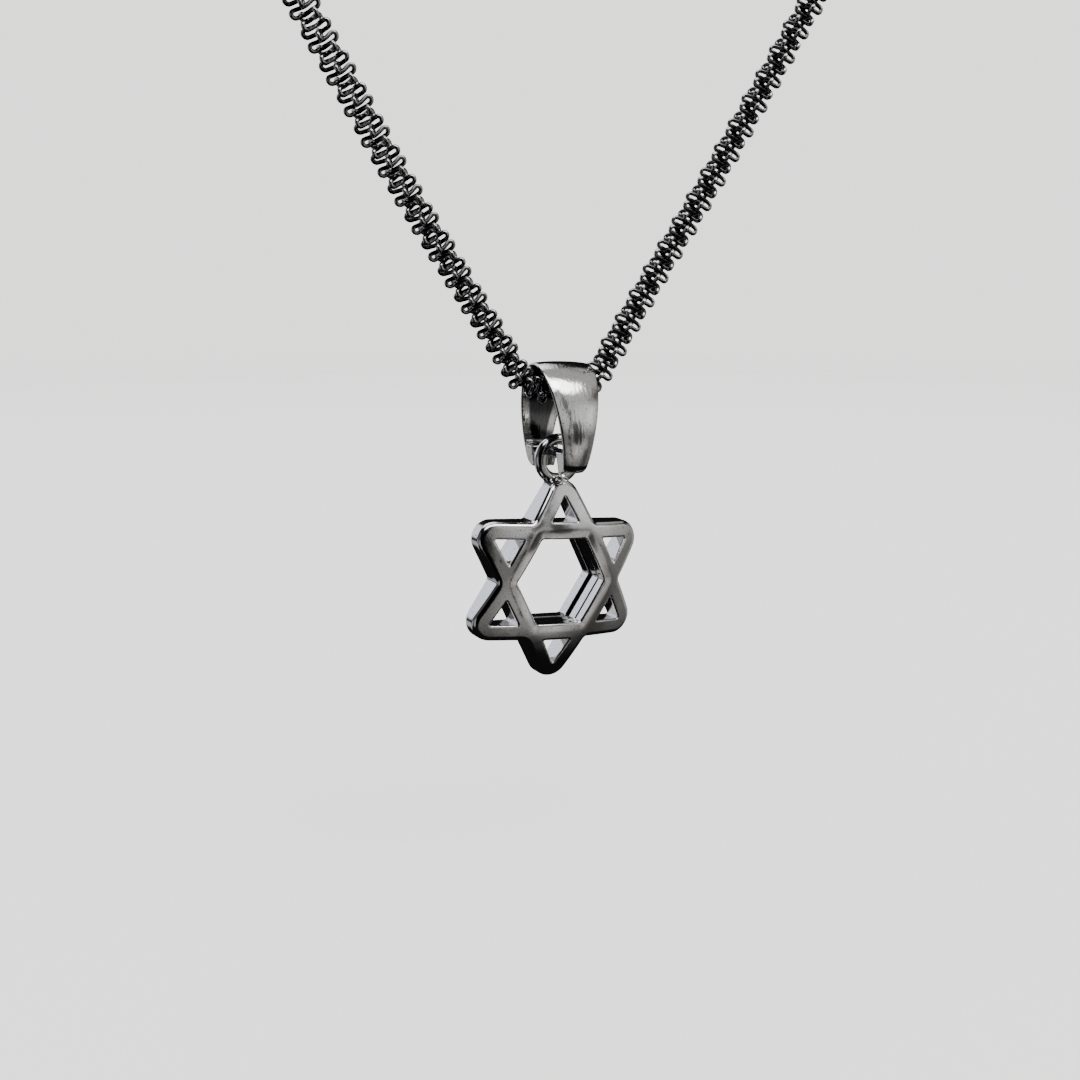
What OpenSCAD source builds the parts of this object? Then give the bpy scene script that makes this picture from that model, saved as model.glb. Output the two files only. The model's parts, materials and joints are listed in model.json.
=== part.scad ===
// Six-pointed star pendant on a folded strip bail, hanging from a whole neck chain.
// Millimetres, +Z up, the front of the star faces -Y, +X to the right seen from the front.
// The origin is the middle of the clasp, where the chain lies on the nape of the neck.

/* [Star] */
// Radius from the centre to a triangle's sharp corner, before the tips are rounded
star_r = 12.1; // [11:0.1:14]
// Width of each bar of the two crossed triangles
bar_w = 1.72; // [1.2:0.01:2]
// Radius that rounds each tip
tip_r = 1.9; // [1.4:0.1:2.4]
// Thickness of the star at its centre
star_t = 3.4; // [2.8:0.1:4]
// Radius of the gently domed front face
dome_r = 34; // [30:1:60]
// Lean of the star to its right-hand side, in degrees
star_lean = 4.7; // [0:0.1:8]

/* [Rim] */
// Wall of the raised rim round the middle opening, at the back
rim_w = 1.1; // [0.6:0.1:1.6]
// Height of the rim behind the star's back face
rim_h = 1.7; // [0.8:0.1:2.4]
// Depth of the groove inside the opening, where the rim meets the star
groove_d = 0.25; // [0.1:0.05:0.4]
// Width of that groove, front to back
groove_w = 0.6; // [0.3:0.1:1]

/* [Ring] */
// Radius of the soldered ring, to the middle of its wire
ring_r = 2; // [1.8:0.05:2.4]
// Diameter of the ring's wire
ring_wire = 1.15; // [0.9:0.05:1.2]
// Height of the ring's centre above the star's centre
ring_rise = 12.05; // [11.8:0.05:12.4]
// Distance of the ring's plane behind the front of the star
ring_back = 3.25; // [2.4:0.05:3.4]
// Radius of the solder neck under the ring, at its foot
neck_r = 1.3; // [1:0.1:1.6]

/* [Bail] */
// Height of the bail
bail_h = 10.75; // [9.5:0.05:12]
// Depth of the bail, front to back
bail_d = 8.8; // [7.6:0.1:10]
// Width of the strip at the top of the bail
bail_top_w = 6.3; // [5:0.1:7]
// Width of the strip at the foot of the bail
bail_foot_w = 2.4; // [1.8:0.1:3]
// Thickness of the strip
bail_t = 0.45; // [0.35:0.05:0.6]
// Height of the cross web's top above the foot of the bail
web_rise = 2.1; // [1.8:0.05:2.6]
// Width of the cross web that the ring hangs on
web_w = 0.8; // [0.6:0.1:1]
// Thickness of the cross web
web_t = 0.9; // [0.5:0.05:1]
// Length of the strip that is turned under at the front and back of the foot
lip = 1; // [0.6:0.1:1.4]
// Lean of the bail to its right-hand side, in degrees
bail_lean = 2.4; // [0:0.1:3]

/* [Chain] */
// Width across the woven links
chain_w = 2.8; // [2:0.1:3]
// Length of the clasp
clasp_l = 12; // [10:0.5:14]
// Diameter of the clasp
clasp_d = 4; // [3.6:0.1:5]

/* [Fits] */
// Gap between the chain and the top of the bail
seat_gap = 0.1; // [0.05:0.05:0.5]
// Gap between the ring and the cross web
web_gap = 0.12; // [0.1:0.01:0.2]
// Distance of the ring behind the middle of the web
ring_aft = 0.4; // [0:0.1:0.6]
// Gap between each end of the chain and the clasp
clasp_gap = 0.1; // [0.05:0.05:0.3]

/* [Hidden] */
$fn = 48;

// Right half of the chain's route, from the nape round the neck to the lowest point:
// out, back to front and up, from the origin. The first point's place comes from the clasp.
ROUTE = [
    [16, -1.5, -0.3], [28, -6.5, -1.5], [39.5, -14.5, -4.5], [49, -24.5, -9.5], [56, -37, -16.5],
    [59.5, -50, -25], [60, -65, -36], [58, -79, -48], [53.5, -92.5, -61.5], [47, -103, -76],
    [39.6, -108.8, -90.3], [32.7, -110.8, -102.1], [26.7, -110.3, -111.9],
    [21.2, -109.8, -120.7], [16.1, -109.3, -128.8], [11, -109, -136.3], [6.2, -109, -143.4],
    [4.7, -109, -145.6],
    [3.8, -109, -146.65], [2.4, -109, -147.15], [0, -109, -147.35]
];

// The pieces at the front hang in this plane, below the route's last point.
LOW = ROUTE[len(ROUTE) - 1];

// Sides of the chain's tube
tube_sides = 8;
// Tube rings for each stretch of the route
tube_steps = 2;
// A direction that no stretch of the route follows
TUBE_REF = [0, -0.8, 0.6];

// Height of the chain's middle where it leaves the bail, and half the bail's width there
bail_half = bail_top_w / 2;
// The route's points at the front, within this distance from the middle
near_front = 13;
chain_side = [for (p = ROUTE) if (p.x < near_front && p.y == LOW.y) [p.x, p.z]];
leave_z = lookup(bail_half, chain_side);
// Slope of the chain just outside, from the horizontal
leave_run = 1.2;
leave_rise = lookup(bail_half + leave_run, chain_side) - leave_z;
leave_slope = atan2(leave_rise, leave_run);

// The inside of the bail's top rests on the upper side of the chain.
bail_top_z = leave_z + chain_w / 2 / cos(leave_slope) + seat_gap + bail_t;
bail_foot_z = bail_top_z - bail_h;
// The bail leans about the middle of the chain.
bail_pivot_z = leave_z;

// The ring hangs on the web, a little behind its middle, and isn't off to either side.
web_x = -(bail_pivot_z - bail_foot_z - web_rise) * sin(bail_lean);
web_z = bail_pivot_z - (bail_pivot_z - bail_foot_z - web_rise) * cos(bail_lean);
ring_in = ring_r - ring_wire / 2 - web_gap;
web_reach = abs(web_x) + web_w / 2;
ring_z = web_z - sqrt(ring_in * ring_in - web_reach * web_reach);

// Radius of the circle inside each triangle's opening, and of the middle opening's corners
open_in = (star_r - 2 * bar_w) / 2;
open_r = open_in / cos(30);

// The bail's upper part is a half ellipse this share of its height. Below it the sides draw
// in, slowly first, towards a foot that is this share of the depth.
bail_arch = 0.71;
bail_foot = 0.89;
// Steps along the arch, along each side, and along each rounded corner of the foot
arch_steps = 16;
side_steps = 3;
foot_steps = 5;
// Radius of the foot's outer corners
foot_r = 0.9;
// Steps round each of the star's tips
tip_steps = 10;
// Play that makes a cut reach past the faces that it opens
past = 1;
// Depth that the rim is sunk into the star
rim_root = 0.45;

function unit(v) = v / norm(v);

// A point on the smooth curve through four route points, a share t of the way from b to c
function curve(a, b, c, d, t) =
    0.5 * (2 * b + (c - a) * t + (2 * a - 5 * b + 4 * c - d) * t * t
           + (3 * b - a - 3 * c + d) * t * t * t);

// The chain's middle line, from one end of the clasp round to the other
chain_end = [clasp_l / 2 + clasp_gap, 0, 0];
half_route = concat([chain_end], ROUTE);
half_last = len(half_route) - 1;
whole_route = concat(half_route, [for (i = [half_last - 1:-1:0])
    [-half_route[i].x, half_route[i].y, half_route[i].z]]);
route_last = len(whole_route) - 1;
chain_line = concat(
    [for (i = [0:route_last - 1], k = [0:tube_steps - 1])
        curve(whole_route[max(i - 1, 0)], whole_route[i], whole_route[i + 1],
              whole_route[min(i + 2, route_last)], k / tube_steps)],
    [whole_route[route_last]]);
line_last = len(chain_line) - 1;

// The tube's direction at a ring: along the clasp at both ends, so that its ends are flat
function heading(i) =
    i == 0 || i == line_last ? [1, 0, 0]
    : unit(chain_line[i + 1] - chain_line[i - 1]);

function ring_point(i, angle, r) =
    let (side = unit(cross(heading(i), TUBE_REF)), up = cross(side, heading(i)))
    chain_line[i] + r * (cos(angle) * side + sin(angle) * up);

module chain() {
    n = tube_sides;
    points = [for (i = [0:line_last], k = [0:n - 1])
        ring_point(i, 360 * k / n, chain_w / 2)];
    walls = [for (i = [0:line_last - 1], k = [0:n - 1])
        [i * n + k, i * n + (k + 1) % n, (i + 1) * n + (k + 1) % n, (i + 1) * n + k]];
    first_end = [for (k = [n - 1:-1:0]) k];
    last_end = [for (k = [0:n - 1]) line_last * n + k];
    color("silver") polyhedron(points, concat(walls, [first_end, last_end]));
}

// A plain barrel clasp along X
module clasp() {
    bevel = clasp_d / 8;
    color("silver") rotate([0, 90, 0]) rotate_extrude()
        polygon([[0, -clasp_l / 2], [clasp_d / 2 - bevel, -clasp_l / 2],
                 [clasp_d / 2, -clasp_l / 2 + bevel], [clasp_d / 2, clasp_l / 2 - bevel],
                 [clasp_d / 2 - bevel, clasp_l / 2], [0, clasp_l / 2]]);
}

// Half of the bail's depth at a height below the arch
function bail_reach(z) =
    let (arch_foot = (1 - bail_arch) * bail_h, down = (arch_foot - z) / arch_foot)
    bail_d / 2 * (1 - (1 - bail_foot) * down * down);

// Half of the bail's side outline, drawn inwards by an inset from the strip's outer face:
// the arch from the top down, then the side and the foot's rounded corner
function bail_side(inset) =
    let (high = bail_arch * bail_h - inset, deep = bail_d / 2 - inset,
         round = max(foot_r - inset, bail_t / 2), foot_top = inset + round,
         foot = bail_reach(foot_top) - inset, arch_foot = (1 - bail_arch) * bail_h)
    concat(
        [for (i = [0:arch_steps]) let (a = 90 * i / arch_steps)
            [deep * sin(a), bail_h - inset - high * (1 - cos(a))]],
        [for (i = [1:side_steps - 1])
            let (z = arch_foot + (foot_top - arch_foot) * i / side_steps)
            [bail_reach(z) - inset, z]],
        [for (i = [0:foot_steps]) let (a = 90 * i / foot_steps)
            [foot - round * (1 - cos(a)), inset + round * (1 - sin(a))]]);

// The whole closed outline, front and back alike
module bail_outline(inset) {
    half = bail_side(inset);
    polygon(concat(half, [for (i = [len(half) - 1:-1:1]) [-half[i].x, half[i].y]]));
}

// The folded strip seen from its side: the loop for the chain above the web, the web, and
// the gap for the ring below it, between the two lips that are turned under
module bail_section() {
    void_half = bail_foot * bail_d / 2 - bail_t - lip;
    difference() {
        bail_outline(0);
        intersection() {
            bail_outline(bail_t);
            translate([-bail_d, web_rise]) square([2 * bail_d, bail_h]);
        }
        translate([-void_half, -past]) square([2 * void_half, web_rise - web_t + past]);
    }
}

// The strip's taper, seen from the front
module bail_taper() {
    polygon([[-bail_top_w / 2, bail_h], [bail_top_w / 2, bail_h],
             [bail_foot_w / 2, 0], [-bail_foot_w / 2, 0]]);
}

// Pockets that narrow the web to its own width, between the lips
module web_sides() {
    void_half = bail_foot * bail_d / 2 - bail_t - lip;
    side_w = bail_top_w;
    for (s = [-1, 1])
        translate([s * (web_w / 2 + side_w / 2), 0, web_rise / 2])
            cube([side_w, 2 * void_half, web_rise + past], center = true);
}

module bail() {
    color("silver") translate([0, LOW.y, bail_pivot_z]) rotate([0, bail_lean, 0])
        translate([0, 0, bail_foot_z - bail_pivot_z])
            difference() {
                intersection() {
                    rotate([90, 0, 90]) linear_extrude(bail_top_w + 2 * past, center = true)
                        bail_section();
                    rotate([90, 0, 0]) linear_extrude(bail_d + 2 * past, center = true)
                        bail_taper();
                }
                web_sides();
            }
}

// One triangle of the star with its three tips rounded
module round_triangle() {
    // Centre of each tip's arc, which spans the turn from one bar to the next
    tip = star_r - 2 * tip_r;
    polygon([for (a = [90, 210, 330], k = [0:tip_steps])
        let (b = a + 120 * (k / tip_steps - 0.5))
        tip * [cos(a), sin(a)] + tip_r * [cos(b), sin(b)]]);
}

// The straight opening of one triangle, to the inner edges of its bars
module triangle_opening() {
    polygon([for (a = [90, 210, 330]) (star_r - 2 * bar_w) * [cos(a), sin(a)]]);
}

module hexagon(r) {
    polygon([for (i = [0:5]) r * [cos(60 * i), sin(60 * i)]]);
}

// Both triangles, one of them upside down, with everything open between the bars
module star_outline() {
    difference() {
        union() {
            round_triangle();
            rotate(180) round_triangle();
        }
        intersection() {
            triangle_opening();
            rotate(180) triangle_opening();
        }
        // The six small openings lie in one triangle only, beyond the other's bars.
        for (turn = [0, 180])
            rotate(turn) difference() {
                triangle_opening();
                rotate(180) polygon([for (a = [90, 210, 330]) star_r * [cos(a), sin(a)]]);
            }
    }
}

// The star in its own place: centre of the front at the origin, front towards -Y
module star_body() {
    intersection() {
        rotate([90, 0, 0]) translate([0, 0, -star_t]) linear_extrude(star_t + past)
            star_outline();
        translate([0, dome_r, 0]) sphere(dome_r, $fn = 96);
    }
}

// The raised rim round the middle opening, behind the star
module star_rim() {
    rotate([90, 0, 0]) translate([0, 0, -star_t - rim_h]) linear_extrude(rim_h + rim_root)
        difference() {
            hexagon(open_r + rim_w / cos(30));
            hexagon(open_r);
        }
}

// The groove in the opening's wall
module star_groove() {
    rotate([90, 0, 0]) translate([0, 0, -star_t - groove_w / 4]) linear_extrude(groove_w)
        hexagon(open_r + groove_d / cos(30));
}

// The ring, soldered to the top tip by a short neck
module star_ring() {
    neck_top = ring_rise - ring_r;
    neck_foot = star_r - 2 * tip_r + tip_r / 2;
    translate([0, ring_back, ring_rise]) rotate([90, 0, 0]) rotate_extrude()
        translate([ring_r, 0]) circle(ring_wire / 2);
    translate([0, ring_back, neck_foot])
        cylinder(h = neck_top - neck_foot, r1 = neck_r, r2 = ring_wire / 2);
}

module star() {
    color("silver") translate([0, LOW.y + ring_aft, ring_z]) rotate([0, star_lean, 0])
        translate([0, -ring_back, -ring_rise])
            difference() {
                union() {
                    star_body();
                    star_rim();
                    star_ring();
                }
                star_groove();
            }
}

chain();
clasp();
bail();
star();
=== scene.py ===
"""Silver star pendant on a folded bail and a whole woven chain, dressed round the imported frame.

Lengths are in millimetres until a mesh is made, and then in metres. The front of the star
faces -Y, +Z is up, and the origin is the middle of the clasp at the nape of the neck.
"""

import json
import logging
import math
from dataclasses import dataclass, field
from enum import Enum
from typing import Any, Callable, Sequence

import bpy
import numpy as np
from mathutils import Matrix, Vector

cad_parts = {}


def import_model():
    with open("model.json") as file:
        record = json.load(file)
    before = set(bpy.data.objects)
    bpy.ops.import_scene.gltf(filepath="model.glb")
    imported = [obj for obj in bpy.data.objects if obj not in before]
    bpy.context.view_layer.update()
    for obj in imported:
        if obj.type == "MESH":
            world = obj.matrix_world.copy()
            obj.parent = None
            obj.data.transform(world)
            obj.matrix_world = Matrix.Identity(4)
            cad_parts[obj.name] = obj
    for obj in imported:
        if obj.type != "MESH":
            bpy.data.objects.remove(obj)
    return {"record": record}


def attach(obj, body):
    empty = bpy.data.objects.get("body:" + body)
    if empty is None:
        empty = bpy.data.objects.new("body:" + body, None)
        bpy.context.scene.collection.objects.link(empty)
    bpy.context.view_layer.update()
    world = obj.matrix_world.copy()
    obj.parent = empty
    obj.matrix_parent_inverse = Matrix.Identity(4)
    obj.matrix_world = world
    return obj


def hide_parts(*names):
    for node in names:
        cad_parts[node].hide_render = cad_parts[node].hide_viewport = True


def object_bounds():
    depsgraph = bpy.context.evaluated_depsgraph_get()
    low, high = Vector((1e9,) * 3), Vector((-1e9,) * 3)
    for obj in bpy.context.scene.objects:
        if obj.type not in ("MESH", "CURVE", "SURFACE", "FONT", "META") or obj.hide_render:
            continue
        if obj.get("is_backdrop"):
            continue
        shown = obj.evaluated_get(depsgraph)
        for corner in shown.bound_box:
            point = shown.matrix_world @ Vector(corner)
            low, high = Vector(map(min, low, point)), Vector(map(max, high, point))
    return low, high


LOG = logging.getLogger("necklace")
MM = 0.001
PAINTED_SHADE_ATTRIBUTE = "painted_shade"
SMOOTH = {"interpolation_type": "SMOOTHSTEP"}
Array = np.ndarray
Field = Callable[[Array], Array]
Span = tuple[float, float]
Point = tuple[float, float, float]


def linear(hex_colour: str) -> tuple[float, float, float, float]:
    """Turns an sRGB hex colour to linear.

    Args:
        hex_colour: a hash and six hex digits.

    Returns:
        Red, green and blue as linear light, and full alpha.
    """
    srgb = [int(hex_colour[i:i + 2], 16) / 255 for i in (1, 3, 5)]
    red, green, blue = (c / 12.92 if c <= 0.04045 else ((c + 0.055) / 1.055) ** 2.4 for c in srgb)
    return red, green, blue, 1.0


def add_node(tree: bpy.types.NodeTree, kind: str, settings: dict[str, Any] | None = None,
             values: dict[Any, Any] | None = None) -> bpy.types.Node:
    """Adds a node with its settings, input values and links.

    Args:
        tree: the node tree that gets it.
        kind: Blender's name of the node type.
        settings: the node's own properties by name.
        values: for each input, by name or number, a constant or an output socket to link.

    Returns:
        The new node.
    """
    node = tree.nodes.new(kind)
    for name, value in (settings or {}).items():
        setattr(node, name, value)
    for key, value in (values or {}).items():
        if isinstance(value, bpy.types.NodeSocket):
            tree.links.new(value, node.inputs[key])
        else:
            node.inputs[key].default_value = value
    return node


@dataclass(frozen=True)
class Silver:
    """Sterling silver, cast or drawn and then polished: a bright metal whose faint pebble
    breaks the reflections up into grain.

    Attributes:
        colour, film_colour: the clean metal, and where a thin film of wear dulls it.
        pit_colour, crevice_colour: the bottom of the small casting pits, and the painted shade in
        recesses, in full where the mesh's crevice attribute is 1.
        roughness, grain_roughness: of the smooth places, and of the grain's dull places.
        pebble, relief: width and height of a grain in mm, as coarse as it needs to show.
        wave, wave_relief: width and height in mm of the slow waves that polishing leaves.
        pit, pit_share, pit_edge: distance between pits in mm, how deep the noise dips where
            one begins, and how much deeper where it is full.
        streak, streak_length, streak_relief: size in mm of the upright lines from rolling.
        film_range, dull_range: the grain's noise over which film and dullness set in.
    """

    name: str
    colour: str = "#E6E5E3"
    film_colour: str = "#D3D2D0"
    pit_colour: str = "#6E6B68"
    roughness: float = 0.07
    grain_roughness: float = 0.13
    pebble: float = 0.14
    relief: float = 0.0018
    wave: float = 1.6
    wave_relief: float = 0.016
    pit: float = 0.42
    pit_share: float = 0.15
    pit_edge: float = 0.05
    streak: float = 0.3
    streak_length: float = 5.0
    streak_relief: float = 0.0
    film_range: Span = (0.40, 0.66)
    dull_range: Span = (0.35, 0.65)
    crevice_colour: str = "#38383A"

    def material(self) -> bpy.types.Material:
        """Builds the node material.

        Returns:
            The new material.
        """
        material = bpy.data.materials.new(self.name)
        material.use_nodes = True
        tree = material.node_tree
        shader = tree.nodes["Principled BSDF"]
        place = add_node(tree, "ShaderNodeTexCoord").outputs["Object"]
        drawn = add_node(tree, "ShaderNodeMapping", {"vector_type": "POINT"}, {
            "Vector": place, "Scale": (1 / (self.streak * MM), 1 / (self.streak * MM),
                                       1 / (self.streak_length * MM))}).outputs[0]
        grain, wave, pits, streaks = [
            add_node(tree, "ShaderNodeTexNoise", values={
                "Vector": vector, "Scale": scale, "Detail": detail,
                "Roughness": roughness}).outputs[0]
            for vector, scale, detail, roughness in (
                (place, 1 / (self.pebble * MM), 2.0, 0.6), (place, 1 / (self.wave * MM), 1.0, 0.5),
                (place, 1 / (self.pit * MM), 3.0, 0.7), (drawn, 1.0, 1.0, 0.5))]
        pit_level = 0.5 - self.pit_share
        film, pitted, rough = [
            add_node(tree, "ShaderNodeMapRange", values={
                "Value": noise, "From Min": start, "From Max": end, "To Min": low,
                "To Max": high}).outputs["Result"]
            for noise, start, end, low, high in (
                (grain, *self.film_range, 0.0, 1.0),
                (pits, pit_level, pit_level - self.pit_edge, 0.0, 1.0),
                (grain, *self.dull_range, self.roughness, self.grain_roughness))]
        # Painted shade: the crevice attribute mixes in a dark colour where recesses lie in shade.
        painted_shade = add_node(tree, "ShaderNodeAttribute", {"attribute_name": PAINTED_SHADE_ATTRIBUTE}).outputs["Fac"]
        colour = linear(self.colour)
        for share, cover in ((film, self.film_colour), (pitted, self.pit_colour),
                             (painted_shade, self.crevice_colour)):
            colour = add_node(tree, "ShaderNodeMix", {"data_type": "RGBA"}, {
                0: share, 6: colour, 7: linear(cover)}).outputs[2]
        normal: dict[str, Any] = {}
        for noise, height in ((streaks, self.streak_relief), (wave, self.wave_relief),
                              (grain, self.relief)):
            bump = add_node(tree, "ShaderNodeBump", values={
                "Height": noise, "Distance": height * MM, "Strength": 1.0, **normal})
            normal = {"Normal": bump.outputs["Normal"]}
        shader.inputs["Metallic"].default_value = 1.0
        for socket, value in {"Base Color": colour, "Roughness": rough, **normal}.items():
            tree.links.new(value, shader.inputs[socket])
        return material


@dataclass(frozen=True)
class MattePaper:
    """Matte seamless background paper that fades out between two radii, in mm."""

    # Uncoated paper from a wide roll, machine made: pale, even and without gloss.
    name: str = "Seamless paper"
    colour: str = "#E9E8E6"
    roughness: float = 0.95
    fade_from: float = 250.0
    fade_to: float = 900.0

    def material(self) -> bpy.types.Material:
        """Builds the paper, which fades out between the two radii.

        Returns:
            The new material.
        """
        material = bpy.data.materials.new(self.name)
        material.use_nodes = True
        tree = material.node_tree
        shader = tree.nodes["Principled BSDF"]
        shader.inputs["Base Color"].default_value = linear(self.colour)
        shader.inputs["Roughness"].default_value = self.roughness
        place = add_node(tree, "ShaderNodeTexCoord").outputs["Object"]
        reach = add_node(tree, "ShaderNodeVectorMath", {"operation": "LENGTH"}, {0: place})
        fade = add_node(tree, "ShaderNodeMapRange", SMOOTH, {
            "Value": reach.outputs["Value"], "From Min": self.fade_from * MM,
            "From Max": self.fade_to * MM, "To Min": 1.0, "To Max": 0.0})
        tree.links.new(fade.outputs["Result"], shader.inputs["Alpha"])
        return material


def round_cut(a: Array, b: Array, radius: float) -> Array:
    """Keeps what two distance fields share, with its outer edge rounded.

    Args:
        a: distances to one shape, negative inside.
        b: distances to the other.
        radius: radius of the rounded edge.

    Returns:
        Distances to the shared shape.
    """
    corner = np.hypot(np.maximum(a + radius, 0), np.maximum(b + radius, 0))
    return np.minimum(-radius, np.maximum(a, b)) + corner


def round_join(a: Array, b: Array, radius: float) -> Array:
    """Joins two distance fields with a fillet between them.

    Args:
        a: distances to one shape, negative inside.
        b: distances to the other.
        radius: radius of the fillet.

    Returns:
        Distances to both together.
    """
    corner = np.hypot(np.maximum(radius - a, 0), np.maximum(radius - b, 0))
    return np.maximum(radius, np.minimum(a, b)) - corner


def convex_distance(x: Array, z: Array, corners: Sequence[tuple[float, float]]) -> Array:
    """Exact distance to a convex outline.

    Args:
        x: first coordinate of each point.
        z: second coordinate of each point.
        corners: the outline's corners, counterclockwise.

    Returns:
        The distances, negative inside.
    """
    nearest = np.full(x.shape, np.inf)
    side = np.full(x.shape, -np.inf)
    for (ax, az), (bx, bz) in zip(corners, corners[1:] + corners[:1]):
        ex, ez = bx - ax, bz - az
        size = math.hypot(ex, ez)
        along = np.clip(((x - ax) * ex + (z - az) * ez) / size ** 2, 0, 1)
        nearest = np.minimum(nearest, np.hypot(x - ax - along * ex, z - az - along * ez))
        side = np.maximum(side, ((x - ax) * ez - (z - az) * ex) / size)
    return np.where(side > 0, nearest, side)


def round_polygon(x: Array, z: Array, radius: float, count: int, first: float,
                  rounding: float) -> Array:
    """Distance to a regular polygon with rounded corners.

    Args:
        x: first coordinate of each point.
        z: second coordinate of each point.
        radius: distance of the sharp corners from the middle.
        count: number of corners.
        first: angle of the first corner, in degrees.
        rounding: radius of the rounded corners.

    Returns:
        The distances, negative inside.
    """
    inner = radius - rounding / math.cos(math.pi / count)
    turns = [math.radians(first + 360 * i / count) for i in range(count)]
    corners = [(inner * math.cos(t), inner * math.sin(t)) for t in turns]
    return convex_distance(x, z, corners) - rounding


def aimed(azimuth: float, elevation: float) -> Point:
    """Turns degrees to the right of the star's front and above the horizon to a direction."""
    a, e = math.radians(azimuth), math.radians(elevation)
    return math.sin(a) * math.cos(e), -math.cos(a) * math.cos(e), math.sin(e)


def smooth_step(value: Array, start: float, end: float) -> Array:
    """Rises smoothly from 0 at start to 1 at end."""
    share = np.clip((value - start) / (end - start), 0, 1)
    return share * share * (3 - 2 * share)


@dataclass
class Casting:
    """Turns a distance field into a closed mesh of even quads that lie on its surface.

    Attributes:
        shape: the distance field, negative inside.
        low: lowest corner of the space that holds the shape, in mm.
        high: highest corner of that space, in mm.
        step: size of a quad, in mm.
        rounds: how often the points are evened out and set back on the surface.
        ease: how far a point moves towards its neighbours' mean, as a share of the way.
        moves, nudge: steps back to the surface, and where its slope is measured, in quads.
        least_slope: smallest squared slope that such a step is divided by.
    """

    shape: Field
    low: Point
    high: Point
    step: float
    rounds: int = 3
    ease: float = 0.5
    moves: int = 2
    nudge: float = 0.05
    least_slope: float = 0.05

    def cells(self) -> tuple[Array, Array]:
        """Finds one point for each cell that the surface crosses, and the quads between them.

        Returns:
            The points and the quads.
        """
        low = np.array(self.low)
        count = np.ceil((np.array(self.high) - low) / self.step).astype(int) + 1
        grid = np.meshgrid(*(low[i] + self.step * np.arange(count[i]) for i in range(3)),
                           indexing="ij")
        value = self.shape(np.stack([g.ravel() for g in grid], axis=1)).reshape(count)
        cells = count - 1
        total = np.zeros((*cells, 3))
        number = np.zeros(cells)
        crossings = []
        # A grid edge with its ends on both sides of the surface gives the place where it is
        # crossed to the four cells round it. A cell's point is the mean of what it is given.
        for axis in range(3):
            first, second = [c for c in range(3) if c != axis]
            a = np.take(value, range(cells[axis]), axis)
            b = np.take(value, range(1, count[axis]), axis)
            crossed = (a < 0) != (b < 0)
            crossings.append((crossed, a < 0))
            share = np.where(crossed, a / np.where(crossed, a - b, 1), 0)
            for i in (0, 1):
                for j in (0, 1):
                    cut = [slice(None)] * 3
                    cut[first] = slice(i, i + cells[first])
                    cut[second] = slice(j, j + cells[second])
                    hit = crossed[tuple(cut)]
                    number += hit
                    total[..., axis] += share[tuple(cut)]
                    total[..., first] += i * hit
                    total[..., second] += j * hit
        active = number > 0
        index = np.full(cells, -1)
        index[active] = np.arange(active.sum())
        points = (np.argwhere(active) + total[active] / number[active][:, None]) * self.step + low
        quads = [self.quads_along(axis, index, *crossings[axis]) for axis in range(3)]
        return points, np.concatenate(quads)

    @staticmethod
    def quads_along(axis: int, index: Array, crossed: Array, inside: Array) -> Array:
        """Makes a quad round each grid edge along one axis that the surface crosses.

        Args:
            axis: the axis.
            index: number of each cell's point, or -1.
            crossed: which grid edges are crossed.
            inside: which grid edges start inside the shape.

        Returns:
            The quads, facing outwards.
        """
        u, v = (axis + 1) % 3, (axis + 2) % 3
        inner = [slice(None)] * 3
        inner[u] = slice(1, -1)
        inner[v] = slice(1, -1)
        spots = np.argwhere(crossed[tuple(inner)])
        outward = inside[tuple(inner)][tuple(spots.T)]
        corners = []
        for step_u, step_v in ((0, 0), (1, 0), (1, 1), (0, 1)):
            cell = spots.copy()
            cell[:, u] += step_u
            cell[:, v] += step_v
            corners.append(index[tuple(cell.T)])
        quads = np.stack(corners, axis=1)
        return np.where(outward[:, None], quads, quads[:, ::-1])

    def settle(self, points: Array) -> Array:
        """Moves points along the field's slope onto its surface.

        Args:
            points: points near the surface, in mm.

        Returns:
            Points on it.
        """
        nudge = self.step * self.nudge
        for _ in range(self.moves):
            value = self.shape(points)
            slope = np.stack([(self.shape(points + nudge * unit) - self.shape(points - nudge * unit))
                              / (2 * nudge) for unit in np.eye(3)], axis=1)
            size = np.maximum((slope ** 2).sum(axis=1), self.least_slope)
            points = points - (value / size)[:, None] * slope
        return points

    def mesh(self, name: str, place: Field, soiled: Field) -> bpy.types.Mesh:
        """Makes the mesh, in metres.

        Args:
            name: the mesh's name.
            place: moves points from the shape's own space to the row frame, in mm.
            soiled: how much painted shade darkens points of the shape's own space, from 0 to 1.

        Returns:
            A closed mesh with smooth shading.
        """
        points, quads = self.cells()
        following = np.roll(quads, -1, axis=1)
        ends = np.concatenate([quads, following]).ravel()
        others = np.concatenate([following, quads]).ravel()
        shared = np.bincount(ends, minlength=len(points))
        for _ in range(self.rounds):
            mean = np.stack([np.bincount(ends, points[others, i], len(points)) / shared
                             for i in range(3)], axis=1)
            points = self.settle(points + self.ease * (mean - points))
        mesh = new_mesh(name, place(points), quads.tolist())
        tarnish(mesh, soiled(points))
        return mesh


def leaned(points: Array, pivot: Point, lean: float, home: Point) -> Array:
    """Leans points to the right-hand side about a pivot and moves the pivot home.

    Args:
        points: the points, in mm.
        pivot: the pivot in the points' own space.
        lean: the lean in degrees, seen from the front.
        home: where the pivot goes in the row frame.

    Returns:
        The points in the row frame, in mm.
    """
    c, s = math.cos(math.radians(lean)), math.sin(math.radians(lean))
    x, y, z = (points - np.array(pivot)).T
    return np.stack([x * c + z * s, y, z * c - x * s], axis=1) + np.array(home)


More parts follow.
